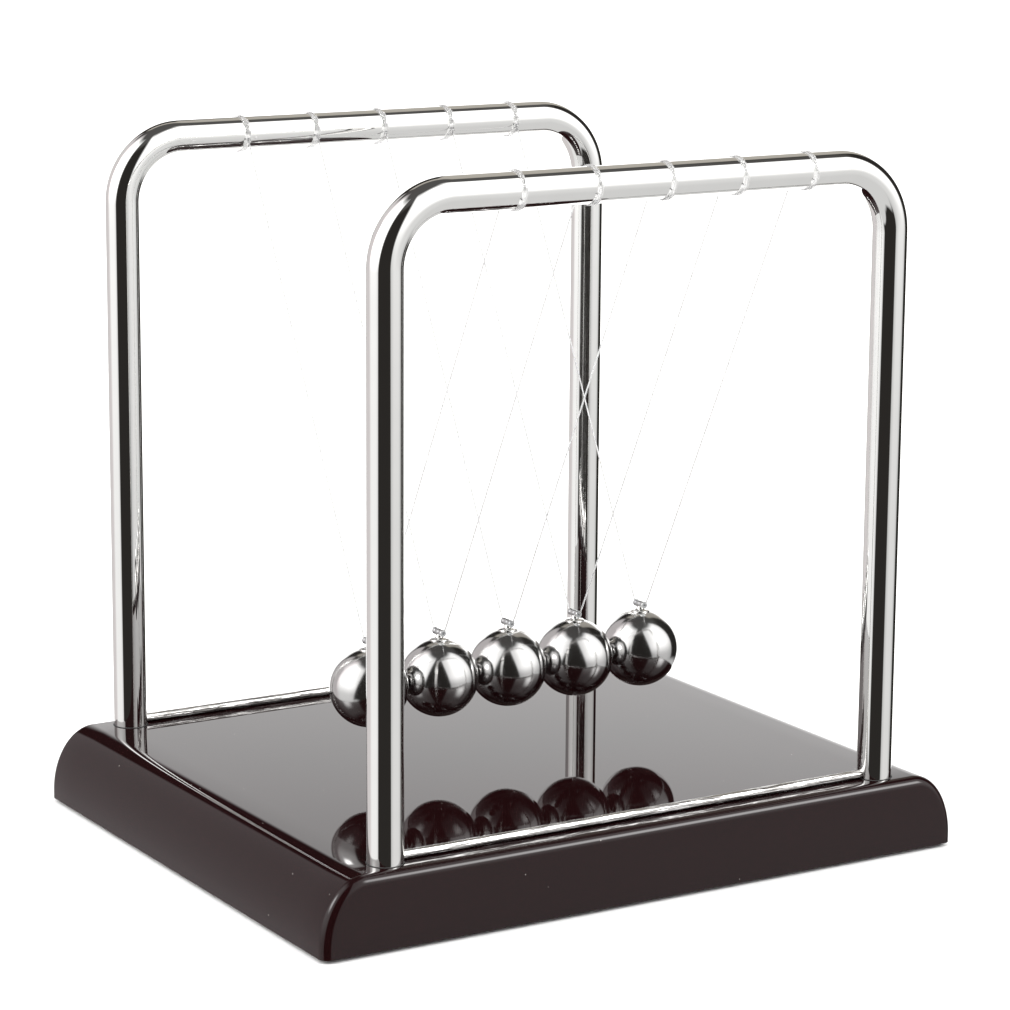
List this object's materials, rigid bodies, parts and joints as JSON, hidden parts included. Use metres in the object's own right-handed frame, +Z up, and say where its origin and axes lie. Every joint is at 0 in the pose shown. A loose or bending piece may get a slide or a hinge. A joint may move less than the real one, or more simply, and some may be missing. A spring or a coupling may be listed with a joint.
{
  "type": "newtons cradle",
  "caption": "Desk-top Newton's cradle: polished steel balls hung in a row on V-shaped clear lines between two bent chrome tube frames on a dark lacquered base.",
  "frame": {"origin": "on the table under the middle of the base", "axes": "+Z up; +X along the row of balls; the front of the base faces -Y"},
  "size_m": [0.18, 0.15, 0.1774],
  "materials": {
    "base_lacquer": "high gloss dark brown lacquer",
    "base_cover": "fine matt",
    "fastener": "zinc plated",
    "frame_chrome": "bright chrome plate",
    "foot_rubber": "matt",
    "nylon_line": "clear drawn nylon",
    "cap_metal": "polished",
    "ferrule_metal": "satin",
    "ball_steel": "mirror polished"
  },
  "bodies": {
    "stand": {"base_shell": "base_lacquer", "base_cover": "base_cover", "foot_front_left": "foot_rubber", "foot_front_right": "foot_rubber", "foot_rear_left": "foot_rubber", "foot_rear_right": "foot_rubber", "cover_screws": "fastener", "leg_screws": "fastener", "leg_washers": "fastener", "leg_plugs": "fastener", "front_frame_tube": "frame_chrome", "rear_frame_tube": "frame_chrome", "front_tie_rod": "frame_chrome", "rear_tie_rod": "frame_chrome", "front_wrap_1": "nylon_line", "front_wrap_2": "nylon_line", "front_wrap_3": "nylon_line", "front_wrap_4": "nylon_line", "front_wrap_5": "nylon_line", "rear_wrap_1": "nylon_line", "rear_wrap_2": "nylon_line", "rear_wrap_3": "nylon_line", "rear_wrap_4": "nylon_line", "rear_wrap_5": "nylon_line"},
    "swing_1": {"line_1": "nylon_line", "ball_1": "ball_steel", "ball_cap_1": "cap_metal", "ferrule_1": "ferrule_metal"},
    "swing_2": {"line_2": "nylon_line", "ball_2": "ball_steel", "ball_cap_2": "cap_metal", "ferrule_2": "ferrule_metal"},
    "swing_3": {"line_3": "nylon_line", "ball_3": "ball_steel", "ball_cap_3": "cap_metal", "ferrule_3": "ferrule_metal"},
    "swing_4": {"line_4": "nylon_line", "ball_4": "ball_steel", "ball_cap_4": "cap_metal", "ferrule_4": "ferrule_metal"},
    "swing_5": {"line_5": "nylon_line", "ball_5": "ball_steel", "ball_cap_5": "cap_metal", "ferrule_5": "ferrule_metal"}
  },
  "joints": [
    {"name": "ball_1_swing", "type": "hinge", "parent": "stand", "child": "swing_1", "pos_m": [-0.0364, 0, 0.17131], "axis": [0, 1, 0], "range_deg": [-0.04, 70]},
    {"name": "ball_2_swing", "type": "hinge", "parent": "stand", "child": "swing_2", "pos_m": [-0.0162, 0, 0.17131], "axis": [0, 1, 0], "range_deg": [-0.04, 0.04]},
    {"name": "ball_3_swing", "type": "hinge", "parent": "stand", "child": "swing_3", "pos_m": [0.004, 0, 0.17131], "axis": [0, 1, 0], "range_deg": [-0.04, 0.04]},
    {"name": "ball_4_swing", "type": "hinge", "parent": "stand", "child": "swing_4", "pos_m": [0.0242, 0, 0.17131], "axis": [0, 1, 0], "range_deg": [-0.04, 0.04]},
    {"name": "ball_5_swing", "type": "hinge", "parent": "stand", "child": "swing_5", "pos_m": [0.0444, 0, 0.17131], "axis": [0, 1, 0], "range_deg": [-70, 0.04]}
  ]
}
